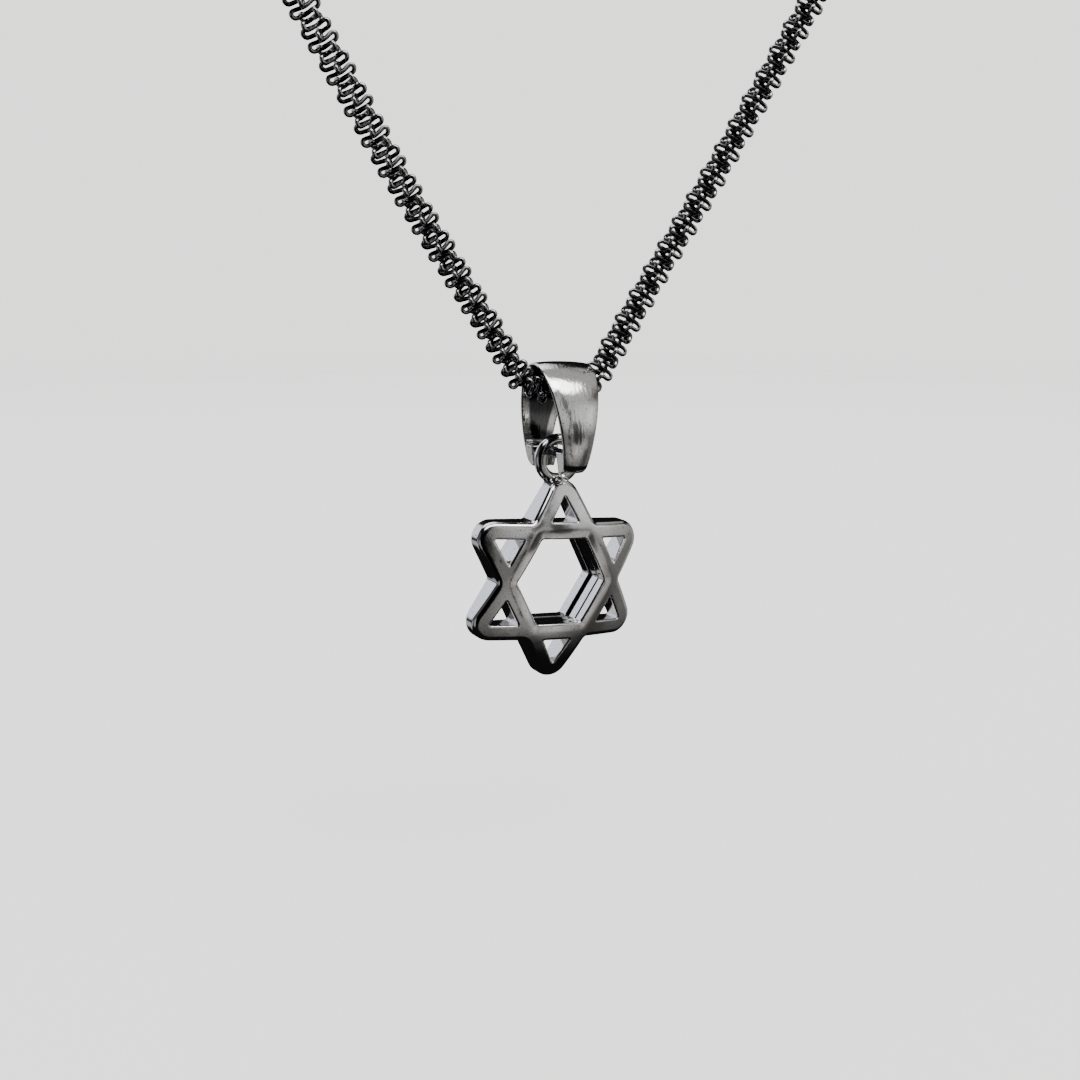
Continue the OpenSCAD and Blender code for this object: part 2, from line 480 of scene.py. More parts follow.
def new_mesh(name: str, points: Array, faces: Sequence[Sequence[int]]) -> bpy.types.Mesh:
    """Makes a mesh whose quads are shaded smooth, and any larger face flat.

    Args:
        name: the mesh's name.
        points: its points, in mm.
        faces: the points of each face, counterclockwise seen from outside.

    Returns:
        The mesh, in metres.
    """
    mesh = bpy.data.meshes.new(name)
    mesh.from_pydata((points * MM).tolist(), [], faces)
    mesh.polygons.foreach_set("use_smooth", [len(face) == 4 for face in faces])
    return mesh


def bands(rings: int, sides: int, closed: bool) -> list[list[int]]:
    """Makes the quads between rings of points that turn as a right-hand screw does.

    Args:
        rings: number of rings.
        sides: points in each ring.
        closed: whether the last ring joins the first.

    Returns:
        The quads, facing outwards.
    """
    ring, spoke = np.meshgrid(np.arange(rings if closed else rings - 1), np.arange(sides),
                              indexing="ij")
    on, over = (ring + 1) % rings, (spoke + 1) % sides
    return np.stack([ring * sides + spoke, ring * sides + over, on * sides + over,
                     on * sides + spoke], axis=-1).reshape(-1, 4).tolist()


def tarnish(mesh: bpy.types.Mesh, amount: Array) -> None:
    """Stores on a mesh how much painted shade darkens each of its points, from 0 to 1."""
    mesh.attributes.new(PAINTED_SHADE_ATTRIBUTE, "FLOAT", "POINT").data.foreach_set("value", amount)


def add_object(name: str, data: bpy.types.ID) -> bpy.types.Object:
    """Adds an object to the scene, at the origin.

    Args:
        name: the object's name.
        data: its mesh or camera.

    Returns:
        The new object.
    """
    added = bpy.data.objects.new(name, data)
    bpy.context.collection.objects.link(added)
    return added


def show(name: str, mesh: bpy.types.Mesh, material: bpy.types.Material) -> bpy.types.Object:
    """Puts a mesh in the scene as a piece with one finish.

    Args:
        name: the piece's name.
        mesh: its mesh, in metres.
        material: its finish.

    Returns:
        The new object.
    """
    mesh.materials.clear()
    mesh.materials.append(material)
    return add_object(name, mesh)


@dataclass
class Star:
    """The cast six-pointed star with its back rim and the ring soldered to its top tip.

    In its own space the star's front centre is the origin, +Y goes to its back and +Z up.

    Attributes:
        corner, tip: where a triangle's sharp corner would be, and the radius that rounds it.
        thickness, dome, lean: depth at the middle, radius of the front, and lean in degrees.
        dip, dip_reach, dip_edge: how deep, how far and how softly the front sinks beside the
            middle opening.
        groove, groove_place: radius of the groove inside the rim, and its place in the depth.
        ring, wire: radius of the ring's middle line, and thickness of its wire.
        ring_rise, ring_back: how far its middle lies above and behind the front's centre.
    """

    corner: float = 12.1
    bar: float = 1.72
    tip: float = 1.9
    thickness: float = 3.4
    dome: float = 34.0
    lean: float = 4.7
    hole_round: float = 0.12
    fillet: float = 0.16
    front_edge: float = 0.55
    opening_edge: float = 0.15
    dip: float = 0.12
    dip_reach: float = 0.9
    dip_edge: float = 0.3
    back_edge: float = 0.16
    rim_wall: float = 1.1
    rim_height: float = 1.7
    rim_edge: float = 0.2
    groove: float = 0.36
    groove_place: float = 3.2
    # Painted shade in the rim's groove: how dark, and how far from the groove it fades.
    groove_tarnish: float = 0.85
    groove_fade: Span = (0.02, 0.12)
    ring: float = 2.0
    wire: float = 1.15
    ring_rise: float = 12.05
    ring_back: float = 3.25
    solder: float = 0.45
    # Painted shade round the soldered foot of the ring: how dark, and how far it fades.
    seam_tarnish: float = 0.5
    seam_fade: Span = (0.05, 0.35)
    margins: Span = (0.8, 0.35)
    mesh_step: float = 0.115
    hinge: Point = (0.0, 0.0, 0.0)
    # Sterling silver, cast in one and tumbled bright: a mirror that fine pebble and small
    # casting pits break up into grain.
    finish: Silver = Silver("Polished cast silver")

    def plan(self, x: Array, z: Array) -> tuple[Array, Array]:
        """Distances seen from the front.

        Args:
            x: first coordinate of each point.
            z: its height.

        Returns:
            Distances to the star's outline, and to its bars with the openings between them.
        """
        outlines, bars = [], []
        for first in (90.0, 270.0):
            outer = round_polygon(x, z, self.corner, 3, first, self.tip)
            inner = round_polygon(x, z, self.corner - 2 * self.bar, 3, first, self.hole_round)
            outlines.append(outer)
            bars.append(np.maximum(outer, -inner))
        return round_join(*outlines, self.fillet), round_join(*bars, self.fillet)

    def opening(self, x: Array, z: Array) -> Array:
        """Distance to the hexagonal opening in the middle."""
        to_side = (self.corner - 2 * self.bar) / 2
        return round_polygon(x, z, to_side / math.cos(math.pi / 6), 6, 0.0, self.fillet)

    def shape(self, points: Array) -> Array:
        """The whole casting as a distance field.

        Args:
            points: points in the star's own space.

        Returns:
            Their distances to its surface, negative inside.
        """
        x, y, z = points.T
        outline, bars = self.plan(x, z)
        opening = self.opening(x, z)
        front = np.sqrt(x ** 2 + (y - self.dome) ** 2 + z ** 2) - self.dome
        beside = 1 - opening / self.dip_reach
        front = front + self.dip * (beside + np.hypot(beside, self.dip_edge)) / 2
        body = round_cut(outline, front, self.front_edge)
        body = round_cut(body, bars, self.opening_edge)
        body = round_cut(body, y - self.thickness, self.back_edge)
        rim = round_cut(np.maximum(opening - self.rim_wall, -opening),
                        y - self.thickness - self.rim_height, self.rim_edge)
        rim = np.maximum(rim, self.thickness / 2 - y)
        body = round_join(body, rim, self.rim_edge)
        body = np.maximum(body, self.groove - np.hypot(opening, y - self.groove_place))
        ring_plane = np.hypot(x, z - self.ring_rise) - self.ring
        ring = np.hypot(ring_plane, y - self.ring_back) - self.wire / 2
        return round_join(body, ring, self.solder)

    def soiled(self, points: Array) -> Array:
        """How much painted shade darkens the rim's groove and the soldered foot of the ring, where
        shade falls.

        Args:
            points: points in the star's own space.

        Returns:
            A share from 0 to 1 for each.
        """
        x, y, z = points.T
        in_groove = np.hypot(self.opening(x, z), y - self.groove_place) - self.groove
        off_ring = np.hypot(np.hypot(x, z - self.ring_rise) - self.ring, y - self.ring_back)
        seam = np.abs(off_ring - self.wire / 2 - self.solder / 2) + np.maximum(
            z - self.ring_rise + self.ring / 2, 0)
        return np.maximum(self.groove_tarnish * (1 - smooth_step(in_groove, *self.groove_fade)),
                          self.seam_tarnish * (1 - smooth_step(seam, *self.seam_fade)))

    def build(self) -> bpy.types.Object:
        """Builds the star, hung from its hinge.

        Returns:
            The star's piece.
        """
        beside, before = self.margins
        wide = self.corner - self.tip + beside
        casting = Casting(self.shape, (-wide, -before, -wide),
                          (wide, self.thickness + self.rim_height + before,
                           self.ring_rise + self.ring + self.wire), self.mesh_step)
        x, y, z = self.hinge
        mesh = casting.mesh("star_casting", lambda points: leaned(
            points, (0.0, self.ring_back, self.ring_rise), self.lean, (x, y, z - self.ring)),
            self.soiled)
        return show("star_casting", mesh, self.finish.material())


@dataclass
class Bail:
    """The tapered strip folded into a closed loop, with the cross web for the star's ring.

    In its own space the middle of its foot is the origin and +Y goes to its back.

    Attributes:
        arch, foot: the arch's share of the height, and the foot's share of the depth.
        web_rise, web_room: top of the cross web, and how far the gaps beside it reach above.
        lip: how far the foot's two edges turn in under the loop.
        crown, crown_power, crown_limit: how much lower the strip's edges lie, how late it falls
            off, and where that ends, in half widths.
        pivot_rise: height of the chain's middle in the loop.
        inner_margin, margin_fade: width of the strip at the edges that gets no painted shade, and of
            its fade.
    """

    height: float = 10.75
    depth: float = 8.8
    top_width: float = 6.3
    foot_width: float = 2.4
    strip: float = 0.45
    arch: float = 0.71
    foot: float = 0.89
    foot_round: float = 0.9
    inner_round: float = 0.5
    web_rise: float = 2.1
    web_width: float = 0.8
    web_thick: float = 0.9
    web_room: float = 1.0
    lip: float = 1.0
    edge: float = 0.13
    crown: float = 0.22
    crown_power: float = 2.5
    crown_limit: float = 1.2
    lean: float = 2.4
    pivot_rise: float = 8.468
    # Painted shade on the strip's inside: how dark, and how soon it fades.
    inner_tarnish: float = 0.9
    inner_fade: Span = (0.05, 0.2)
    inner_margin: float = 1.0
    margin_fade: float = 0.2
    margin: float = 0.3
    mesh_step: float = 0.1
    hinge: Point = (0.0, 0.0, 0.0)
    # Rolled sterling strip, folded, soldered and buffed: bright, a little wavy, with faint
    # upright lines from the rolling.
    finish: Silver = Silver("Polished silver strip", pebble=0.15, pit=0.28, pit_share=0.13,
                            streak_relief=0.014)

    def half_width(self, z: Array) -> Array:
        """Half the strip's width at a height."""
        return (self.foot_width + (self.top_width - self.foot_width) * (z / self.height)) / 2

    def loop(self, y: Array, z: Array, inset: float) -> Array:
        """Distance to the loop's outline seen from the side.

        Args:
            y: second coordinate of each point.
            z: its height.
            inset: how far the outline is drawn inwards.

        Returns:
            The distances, negative inside.
        """
        middle = self.height * (1 - self.arch)
        deep, high = self.depth / 2 - inset, self.height * self.arch - inset
        up = np.maximum(z - middle, 0)
        shape = np.sqrt((y / deep) ** 2 + (up / high) ** 2)
        slope = np.sqrt((y / deep ** 2) ** 2 + (up / high ** 2) ** 2)
        arch = shape * (shape - 1) / np.maximum(slope, 1e-6)
        down = np.clip((middle - z) / middle, 0, 1)
        side = np.abs(y) - deep * (1 - (1 - self.foot) * down ** 2)
        return np.where(z > middle, arch, side)

    def shape(self, points: Array) -> Array:
        """The whole bail as a distance field.

        Args:
            points: points in the bail's own space.

        Returns:
            Their distances to its surface, negative inside.
        """
        x, y, z = points.T
        half = self.half_width(z)
        bulge = self.crown * np.minimum(np.abs(x / half), self.crown_limit) ** self.crown_power
        outer = round_cut(self.loop(y, z, 0.0) + bulge, -z, self.foot_round)
        cavity = round_cut(self.loop(y, z, self.strip), self.web_rise - z, self.inner_round)
        gap_half = self.depth / 2 * self.foot - self.strip - self.lip
        under = np.maximum(np.abs(y) - gap_half, z - self.web_rise + self.web_thick)
        section = np.maximum(np.maximum(outer, -cavity), -under)
        taper = (np.abs(x) - half) * math.cos(math.atan2(self.top_width - self.foot_width,
                                                         2 * self.height))
        body = round_cut(section, taper, self.edge)
        beside = np.maximum(np.abs(y) - gap_half, np.maximum(
            z - self.web_rise - self.web_room, self.web_width / 2 - np.abs(x)))
        return round_cut(body, -beside, self.edge)

    def soiled(self, points: Array) -> Array:
        """How much painted shade darkens the strip's inside, where shade falls.

        Args:
            points: points in the bail's own space.

        Returns:
            A share from 0 to 1 for each.
        """
        x, y, z = points.T
        inside = 1 - smooth_step(self.loop(y, z, self.strip), *self.inner_fade)
        off_edge = 1 - smooth_step(np.abs(x) - self.half_width(z) + self.inner_margin, 0.0,
                                   self.margin_fade)
        return self.inner_tarnish * inside * smooth_step(z, 0.0, self.web_rise) * off_edge

    def build(self) -> bpy.types.Object:
        """Builds the bail round its hinge.

        Returns:
            The bail's piece.
        """
        wide, deep = self.top_width / 2 + self.margin, self.depth / 2 + self.margin
        casting = Casting(self.shape, (-wide, -deep, -self.margin),
                          (wide, deep, self.height + self.margin), self.mesh_step)
        mesh = casting.mesh("bail_loop", lambda points: leaned(
            points, (0.0, 0.0, self.pivot_rise), self.lean, self.hinge), self.soiled)
        return show("bail_loop", mesh, self.finish.material())


class Hand(Enum):
    """Which way the rows of lobes wind round the chain."""

    LEFT = -1
    RIGHT = 1


@dataclass
class Chain:
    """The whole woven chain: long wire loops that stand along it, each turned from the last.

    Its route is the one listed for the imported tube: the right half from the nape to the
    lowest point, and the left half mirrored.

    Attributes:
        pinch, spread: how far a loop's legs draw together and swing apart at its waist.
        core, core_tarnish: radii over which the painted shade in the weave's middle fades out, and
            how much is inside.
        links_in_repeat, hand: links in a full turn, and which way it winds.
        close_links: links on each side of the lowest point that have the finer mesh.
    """

    route: list[Point] = field(default_factory=lambda: [
        (6.1, 0, 0), (16, -1.5, -0.3), (28, -6.5, -1.5), (39.5, -14.5, -4.5), (49, -24.5, -9.5),
        (56, -37, -16.5), (59.5, -50, -25), (60, -65, -36), (58, -79, -48),
        (53.5, -92.5, -61.5), (47, -103, -76), (39.6, -108.8, -90.3), (32.7, -110.8, -102.1),
        (26.7, -110.3, -111.9), (21.2, -109.8, -120.7), (16.1, -109.3, -128.8), (11, -109, -136.3),
        (6.2, -109, -143.4), (4.7, -109, -145.6), (3.8, -109, -146.65), (2.4, -109, -147.15),
        (0, -109, -147.35)])
    width: float = 3.02
    wire: float = 0.42
    loop_width: float = 1.06
    pinch: float = 0.15
    spread: float = 0.32
    core: Span = (0.85, 1.5)
    core_tarnish: float = 0.9
    lean: float = 8.0
    pitch: float = 0.578
    links_in_repeat: int = 5
    hand: Hand = Hand.RIGHT
    route_steps: int = 8
    close_links: int = 100
    # Drawn sterling wire, woven and dipped bright: smooth round wire, with painted shade deep
    # in the weave, where shade falls.
    # The wire's colour is darker than the other silver's: painted shade over the whole chain.
    finish: Silver = Silver("Drawn silver wire", colour="#CFCECC", film_colour="#B5B3B0",
                            roughness=0.08, grain_roughness=0.14, pebble=0.12, relief=0.001,
                            wave_relief=0.0, pit_share=0.3)

    def line(self) -> Array:
        """The chain's middle line as close points.

        Returns:
            The points in mm, from the right end round the front to the left end.
        """
        half = np.array(self.route, dtype=float)
        whole = np.concatenate([half, half[-2::-1] * np.array([-1, 1, 1])])
        ends = np.concatenate([whole[:1], whole, whole[-1:]])
        a, b, c, d = (ends[i:len(ends) - 3 + i] for i in range(4))
        shares = np.arange(self.route_steps)[:, None, None] / self.route_steps
        curve = 0.5 * (2 * b + (c - a) * shares + (2 * a - 5 * b + 4 * c - d) * shares ** 2
                       + (3 * b - a - 3 * c + d) * shares ** 3)
        return np.concatenate([curve.transpose(1, 0, 2).reshape(-1, 3), whole[-1:]])

    def loop_line(self, end_steps: int, leg_steps: int) -> Array:
        """The middle line of one link's wire: a long loop across the chain.

        Args:
            end_steps: wire segments round each end.
            leg_steps: wire segments along each leg.

        Returns:
            The points in mm. The last joins the first, and the chain runs along Z.
        """
        half = (self.loop_width - self.wire) / 2
        reach = (self.width - self.wire) / 2 - half
        turns = np.pi * (np.arange(end_steps + 1) / end_steps - 0.5)
        end = np.stack([reach + half * np.cos(turns), half * np.sin(turns)], axis=1)
        leg = np.stack([np.linspace(reach, -reach, leg_steps + 1)[1:-1],
                        np.full(leg_steps - 1, half)], axis=1)
        x, z = np.concatenate([end, leg, -end, -leg]).T
        rise = math.tan(math.radians(self.lean))
        bend = np.hypot(x, self.wire)
        waist = smooth_step(reach - np.abs(x), 0, reach)
        return np.stack([x, np.sign(z) * self.spread * waist,
                         z * (1 - self.pinch * waist) + rise * (bend - reach / 2)], axis=1)

    def link(self, name: str, end_steps: int, leg_steps: int, sides: int) -> bpy.types.Object:
        """Makes one link: round wire along its middle line.

        Args:
            name: the object's name.
            end_steps: wire segments round each end.
            leg_steps: wire segments along each leg.
            sides: sides of the wire.

        Returns:
            An object that holds the link's mesh.
        """
        middle = self.loop_line(end_steps, leg_steps)
        along = np.roll(middle, -1, axis=0) - np.roll(middle, 1, axis=0)
        along /= np.linalg.norm(along, axis=1)[:, None]
        out = np.cross(along, np.array([0.0, 1.0, 0.0]))
        out /= np.linalg.norm(out, axis=1)[:, None]
        across = np.cross(along, out)
        angles = 2 * np.pi * (np.arange(sides) + 0.5) / sides
        points = middle[:, None] + self.wire / 2 * (
            np.cos(angles)[:, None] * out[:, None] + np.sin(angles)[:, None] * across[:, None])
        points = points.reshape(-1, 3)
        mesh = new_mesh(name, points, bands(len(middle), sides, closed=True))
        # Painted shade: darker towards the chain's middle line, deep in the weave.
        away = np.linalg.norm(points[:, :2], axis=1)
        tarnish(mesh, self.core_tarnish * (1 - smooth_step(away, *self.core)))
        return add_object(name, mesh)

    @staticmethod
    def tree() -> bpy.types.NodeTree:
        """Builds the node tree that strings the links along a line.

        Returns:
            The tree, with named inputs for its sizes.
        """
        tree = bpy.data.node_groups.new("String links", "GeometryNodeTree")
        face = tree.interface
        face.new_socket("Geometry", in_out="OUTPUT", socket_type="NodeSocketGeometry")
        for name, kind in (("Line", "Geometry"), ("Close link", "Object"), ("Far link", "Object"),
                           ("Pitch", "Float"), ("Turn", "Float"), ("Close links", "Int"),
                           ("Finish", "Material")):
            face.new_socket(name, in_out="INPUT", socket_type="NodeSocket" + kind)
        given = add_node(tree, "NodeGroupInput").outputs
        curve = add_node(tree, "GeometryNodeMeshToCurve", values={"Mesh": given["Line"]})
        even = add_node(tree, "GeometryNodeResampleCurve", {"mode": "LENGTH"}, {
            "Curve": curve.outputs[0], "Length": given["Pitch"]})
        spots = add_node(tree, "GeometryNodeCurveToPoints", {"mode": "EVALUATED"},
                         {"Curve": even.outputs[0]})
        size = add_node(tree, "GeometryNodeAttributeDomainSize", {"component": "POINTCLOUD"},
                        {"Geometry": spots.outputs["Points"]})
        index = add_node(tree, "GeometryNodeInputIndex").outputs[0]
        middle = add_node(tree, "ShaderNodeMath", {"operation": "DIVIDE"},
                          {0: size.outputs["Point Count"], 1: 2.0})
        away = add_node(tree, "ShaderNodeMath", {"operation": "SUBTRACT"},
                        {0: index, 1: middle.outputs[0]})
        turn = add_node(tree, "ShaderNodeMath", {"operation": "MULTIPLY"},
                        {0: away.outputs[0], 1: given["Turn"]})
        spin = add_node(tree, "FunctionNodeAxisAngleToRotation", values={
            "Axis": (0.0, 0.0, 1.0), "Angle": turn.outputs[0]})
        facing = add_node(tree, "FunctionNodeRotateRotation", {"rotation_space": "LOCAL"}, {
            "Rotation": spots.outputs["Rotation"], "Rotate By": spin.outputs[0]})
        far = add_node(tree, "ShaderNodeMath", {"operation": "ABSOLUTE"}, {0: away.outputs[0]})
        joined = add_node(tree, "GeometryNodeJoinGeometry")
        for model, test in (("Close link", "LESS_THAN"), ("Far link", "GREATER_THAN")):
            chosen = add_node(tree, "FunctionNodeCompare", {"operation": test}, {
                0: far.outputs[0], 1: given["Close links"]})
            shape = add_node(tree, "GeometryNodeObjectInfo", values={"Object": given[model]})
            placed = add_node(tree, "GeometryNodeInstanceOnPoints", values={
                "Points": spots.outputs["Points"], "Selection": chosen.outputs[0],
                "Instance": shape.outputs["Geometry"], "Rotation": facing.outputs[0]})
            tree.links.new(placed.outputs[0], joined.inputs[0])
        real = add_node(tree, "GeometryNodeRealizeInstances",
                        values={"Geometry": joined.outputs[0]})
        done = add_node(tree, "GeometryNodeSetMaterial", values={
            "Geometry": real.outputs[0], "Material": given["Finish"]})
        add_node(tree, "NodeGroupOutput", values={"Geometry": done.outputs[0]})
        return tree

    def build(self) -> bpy.types.Object:
        """Strings all the links and fuses them into one mesh.

        Returns:
            The chain's piece.
        """
        material = self.finish.material()
        points = self.line()
        mesh = bpy.data.meshes.new("route")
        mesh.from_pydata((points * MM).tolist(), [(i, i + 1) for i in range(len(points) - 1)], [])
        route = add_object("route", mesh)
        links = [self.link("close_link", end_steps=8, leg_steps=6, sides=6),
                 self.link("far_link", end_steps=5, leg_steps=2, sides=5)]
        modifier = route.modifiers.new("Links", "NODES")
        modifier.node_group = self.tree()
        inputs = {"Close link": links[0], "Far link": links[1], "Pitch": self.pitch * MM,
                  "Turn": self.hand.value * 2 * math.pi / self.links_in_repeat,
                  "Close links": self.close_links, "Finish": material}
        for socket in modifier.node_group.interface.items_tree:
            if socket.in_out == "INPUT" and socket.name in inputs:
                modifier[socket.identifier] = inputs[socket.name]
        graph = bpy.context.evaluated_depsgraph_get()
        fused = bpy.data.meshes.new_from_object(route.evaluated_get(graph), depsgraph=graph)
        route.modifiers.clear()
        for spent in (route, *links):
            bpy.data.objects.remove(spent, do_unlink=True)
        fused.polygons.foreach_set("use_smooth", np.ones(len(fused.polygons), dtype=bool))
        return show("chain_links", fused, material)


@dataclass
class Clasp:
    """A plain turned barrel clasp with rounded ends and flat faces."""

    length: float = 12.0
    diameter: float = 4.0
    end_round: float = 0.6
    face: float = 0.6
    steps: int = 8
    sides: int = 48
    # Sterling tube, turned and polished: even and bright.
    finish: Silver = Silver("Turned silver barrel", pebble=0.2, relief=0.002)

    def build(self) -> bpy.types.Object:
        """Turns the barrel about X.

        Returns:
            The clasp's piece.
        """
        radius, half = self.diameter / 2, self.length / 2
        turns = np.linspace(0, math.pi / 2, self.steps)
        rounding = np.stack([half - self.end_round * (1 - np.cos(turns)),
                             radius - self.end_round * (1 - np.sin(turns))], axis=1)
        right = np.concatenate([[(half, self.face * radius)], rounding])
        outline = np.concatenate([right * (-1, 1), right[::-1]])
        x, r = outline[:, :1], outline[:, 1:]
        angles = 2 * math.pi * np.arange(self.sides) / self.sides
        points = np.stack(np.broadcast_arrays(x, r * np.cos(angles), r * np.sin(angles)),
                          axis=-1).reshape(-1, 3)
        caps = [list(range(self.sides))[::-1],
                list(range(len(points) - self.sides, len(points)))]
        mesh = new_mesh("clasp_barrel", points,
                        bands(len(outline), self.sides, closed=False) + caps)
        return show("clasp_barrel", mesh, self.finish.material())


@dataclass(frozen=True)
class Patch:
    """A round patch of the room, as the star sees it.

    Attributes:
        azimuth: degrees to the right of straight ahead of the star's front.
        elevation: degrees above the horizon.
        core, edge: half-angles of its even part, and where it has faded out.
    """

    azimuth: float
    elevation: float
    core: float
    edge: float

    def value(self, tree: bpy.types.NodeTree, way: bpy.types.NodeSocket, outside: float,
              inside: float) -> bpy.types.NodeSocket:
        """Adds the nodes for a value that changes smoothly at the patch's edge.

        Args:
            tree: the world's node tree.
            way: the direction looked in.
            outside: the value outside the patch.
            inside: the value in its even part.

        Returns:
            The socket with the value.
        """
        facing = add_node(tree, "ShaderNodeVectorMath", {"operation": "DOT_PRODUCT"},
                          {0: way, 1: aimed(self.azimuth, self.elevation)}).outputs["Value"]
        return add_node(tree, "ShaderNodeMapRange", SMOOTH, {
            "Value": facing, "From Min": math.cos(math.radians(self.edge)),
            "From Max": math.cos(math.radians(self.core)), "To Min": outside,
            "To Max": inside}).outputs["Result"]


@dataclass(frozen=True)
class SoftLight(Patch):
    """A soft light, with the elevation below which it fades out, if any."""

    colour: str
    power: float
    floor: float | None = None
    floor_fade: float = 8.0


@dataclass(frozen=True)
class Flag(Patch):
    """A small black card that takes away a share of the light. Polished metal mirrors it."""

    share: float


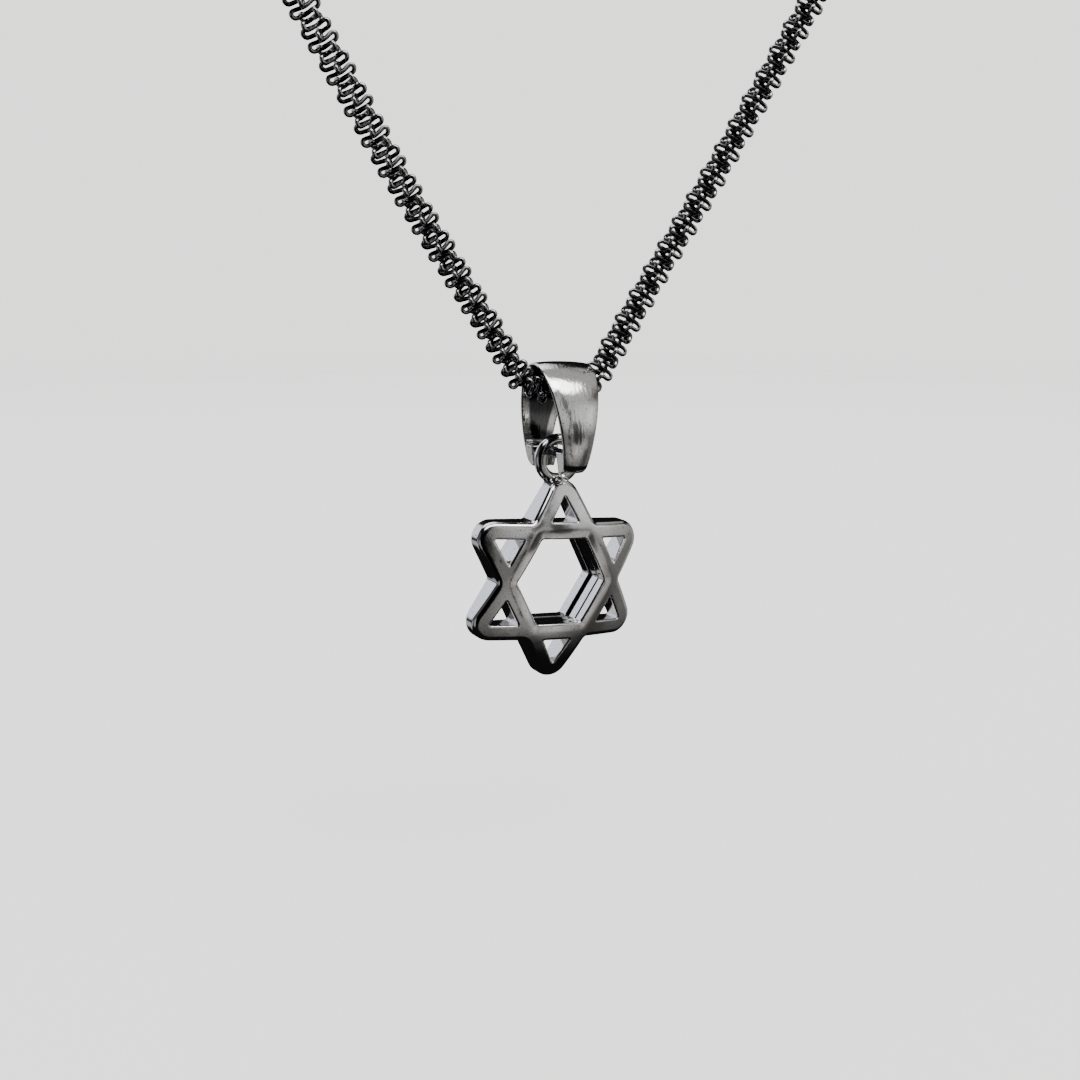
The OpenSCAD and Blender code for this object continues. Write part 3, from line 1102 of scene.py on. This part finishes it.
@dataclass
class Studio:
    """Floor, soft light all round, and the camera at the photograph's angle."""

    # The camera's direction in degrees, then its distances from the star's front along its own
    # axes, and the photograph's focal length and width in pixels.
    azimuth: float = -28.28
    elevation: float = 12.40
    aside: float = -3.30
    above: float = 4.22
    away: float = 122.35
    lens_pixels: float = 1219.0
    image_pixels: float = 1080.0
    sensor: float = 36.0
    clip: Span = (1.0, 5000.0)
    floor_drop: float = 22.0
    floor_middle: float = -109.0
    floor_reach: float = 1000.0
    backdrop: str = "#F3F2F0"
    backdrop_power: float = 2.1
    floor_light: float = 2.5
    shade: str = "#121214"
    # Azimuth, elevation, core, edge, colour, power and, where it has one, floor.
    lights: tuple[SoftLight, ...] = tuple(SoftLight(*row) for row in (
        (36, 48, 7, 13, "#FFFEFC", 6.0),
        (64, 60, 20, 36, "#F8F7F5", 0.50),
        (8, 58, 11, 19, "#FCFCFF", 4.5),
        (-42, 60, 10, 18, "#F6F8FF", 4.0),
        (25, 24, 11, 30, "#FAFAFC", 0.42),
        (39, 13, 5, 14, "#FAFAFC", 0.26),
        (54, 9, 5, 16, "#FAFAFC", 0.40),
        (22, -15, 4, 10, "#F4F4F6", 0.18),
        (33, -14, 6, 13, "#F4F2EF", 0.34),
        (32, -25, 5, 13, "#F4F2EF", 0.12),
        (25, -8, 30, 62, "#F1EFEC", 0.20, -32),
        (43, 6, 3, 12, "#F4F4F6", 0.26),
        (10, 8, 3, 13, "#F4F4F6", 0.20),
        (12, -22, 3, 13, "#F1EEEA", 0.18),
        (-157, 16, 13, 24, "#DADDED", 1.8),
        (-100, 8, 16, 36, "#CFD2DD", 0.14),
        (-152, -22, 5, 13, "#D9D9DC", 0.85),
        (-72, -12, 10, 22, "#E8E8EC", 0.40),
        # The last five light the sides and the back, which the photograph doesn't show.
        (90, -5, 15, 30, "#F1EFEC", 0.40),
        (180, -6, 9, 18, "#F2F2F4", 0.60),
        (132, -15, 10, 20, "#F1EFEC", 0.45),
        (-126, -12, 8, 16, "#F2F2F4", 0.40),
        (180, 62, 18, 32, "#FCFCFF", 2.5)))
    # Azimuth, elevation, core, edge and share. All but the first four stand in a winding row,
    # which the star's front mirrors as a thin dark line.
    flags: tuple[Flag, ...] = tuple(Flag(*row) for row in (
        (-32, 0, 30, 34, 0.97), (27, 5, 2, 6, 0.85), (28, -4, 4, 8, 0.85), (44, -24, 4, 15, 0.6),
        (24, 42, 1.5, 4, 0.7), (23, 36, 1.5, 4, 0.7), (22, 30, 1.5, 5, 0.75),
        (21, 24, 1.5, 5, 0.75), (23, 18, 1.5, 4, 0.75), (22, 12, 1.5, 3.4, 0.8),
        (19, 7, 1.5, 3.2, 0.9), (16, 2, 1.5, 3.2, 0.9), (15, -4, 1.5, 3.2, 0.9),
        (14, -10, 1.5, 3.2, 0.9), (15, -16, 1.5, 3.2, 0.9), (17, -22, 1.5, 3.2, 0.9)))

    def place_camera(self, centre: Vector) -> None:
        """Puts the camera at the photograph's angle and distance.

        Args:
            centre: middle of the star's front when it hangs straight, in metres.
        """
        back = Vector(aimed(self.azimuth, self.elevation))
        right = Vector((-back.y, back.x, 0)).normalized()
        up = back.cross(right)
        data = bpy.data.cameras.new("camera")
        data.sensor_width = self.sensor
        data.lens = self.lens_pixels / self.image_pixels * self.sensor
        data.clip_start, data.clip_end = (distance * MM for distance in self.clip)
        camera = add_object("camera", data)
        camera.rotation_euler = Matrix((right, up, back)).transposed().to_euler()
        camera.location = centre + (right * self.aside + up * self.above + back * self.away) * MM
        bpy.context.scene.camera = camera

    def lay_floor(self, level: float) -> None:
        """Lays the pale paper floor.

        Args:
            level: height of the lowest point of the object, in metres.
        """
        reach = self.floor_reach
        corners = np.array([(-reach, -reach, 0), (reach, -reach, 0), (reach, reach, 0),
                            (-reach, reach, 0)])
        floor = show("floor", new_mesh("floor", corners, [(0, 1, 2, 3)]), MattePaper().material())
        floor.location = (0, self.floor_middle * MM, level - self.floor_drop * MM)
        floor.visible_glossy = False
        floor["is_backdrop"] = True

    def light_room(self) -> None:
        """Sets the soft light all round as the world: patches of light in a dark room."""
        world = bpy.data.worlds.new("Studio")
        bpy.context.scene.world = world
        world.use_nodes = True
        tree = world.node_tree
        tree.nodes.clear()
        way = add_node(tree, "ShaderNodeTexCoord").outputs["Generated"]
        height = add_node(tree, "ShaderNodeSeparateXYZ", values={0: way}).outputs["Z"]
        total = add_node(tree, "ShaderNodeRGB").outputs[0]
        total.default_value = linear(self.shade)
        for light in self.lights:
            power = light.value(tree, way, 0.0, light.power)
            if light.floor is not None:
                start, end = (math.sin(math.radians(light.floor + side * light.floor_fade))
                              for side in (-1, 1))
                above = add_node(tree, "ShaderNodeMapRange", SMOOTH, {
                    "Value": height, "From Min": start, "From Max": end,
                    "To Min": 0.0, "To Max": 1.0}).outputs["Result"]
                power = add_node(tree, "ShaderNodeMath", {"operation": "MULTIPLY"},
                                 {0: power, 1: above}).outputs[0]
            glow = add_node(tree, "ShaderNodeVectorMath", {"operation": "SCALE"},
                            {0: linear(light.colour)[:3], "Scale": power}).outputs[0]
            total = add_node(tree, "ShaderNodeVectorMath", {"operation": "ADD"},
                             {0: total, 1: glow}).outputs[0]
        for flag in self.flags:
            left = flag.value(tree, way, 1.0, 1.0 - flag.share)
            total = add_node(tree, "ShaderNodeVectorMath", {"operation": "SCALE"},
                             {0: total, "Scale": left}).outputs[0]
        room = add_node(tree, "ShaderNodeBackground", values={"Color": total})
        even = add_node(tree, "ShaderNodeBackground", values={
            "Color": linear("#FFFFFF"), "Strength": self.floor_light})
        paper = add_node(tree, "ShaderNodeBackground", values={
            "Color": linear(self.backdrop), "Strength": self.backdrop_power})
        ray = add_node(tree, "ShaderNodeLightPath").outputs
        lit = add_node(tree, "ShaderNodeMixShader", values={
            0: ray["Is Diffuse Ray"], 1: room.outputs[0], 2: even.outputs[0]})
        mix = add_node(tree, "ShaderNodeMixShader", values={
            0: ray["Is Camera Ray"], 1: lit.outputs[0], 2: paper.outputs[0]})
        add_node(tree, "ShaderNodeOutputWorld", values={"Surface": mix.outputs[0]})


def hinge_of(frame: dict[str, Any], name: str) -> Point:
    """Reads where a joint turns, in mm.

    Args:
        frame: the loaded frame.
        name: the joint's name.

    Returns:
        The point on its axis.
    """
    joints = frame["record"]["behaviour"]["joints"]
    place = next(joint["pos_m"] for joint in joints if joint["name"] == name)
    return tuple(value / MM for value in place)


def main() -> None:
    """Builds the necklace, piece by piece, and the studio round it."""
    logging.basicConfig(level=logging.INFO, format="%(message)s")
    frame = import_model()
    cad_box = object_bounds()
    star_hinge = hinge_of(frame, "star_swing")
    bail_hinge = hinge_of(frame, "bail_swing")
    star, bail = Star(hinge=star_hinge), Bail(hinge=bail_hinge)
    for part, body in ((star, "star"), (bail, "bail"), (Chain(), "chain"), (Clasp(), "chain")):
        node = type(part).__name__.lower()
        piece = part.build()
        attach(piece, body)
        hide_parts(node)
        LOG.info("%s rides on %s and stands for %s", piece.name, body, node)
    studio = Studio()
    front_to_hinge = Vector((0, star.ring_back, star.ring + star.ring_rise))
    studio.place_camera(Vector(star_hinge) * MM - front_to_hinge * MM)
    studio.lay_floor(cad_box[0].z)
    studio.light_room()


if __name__ == "__main__":
    main()
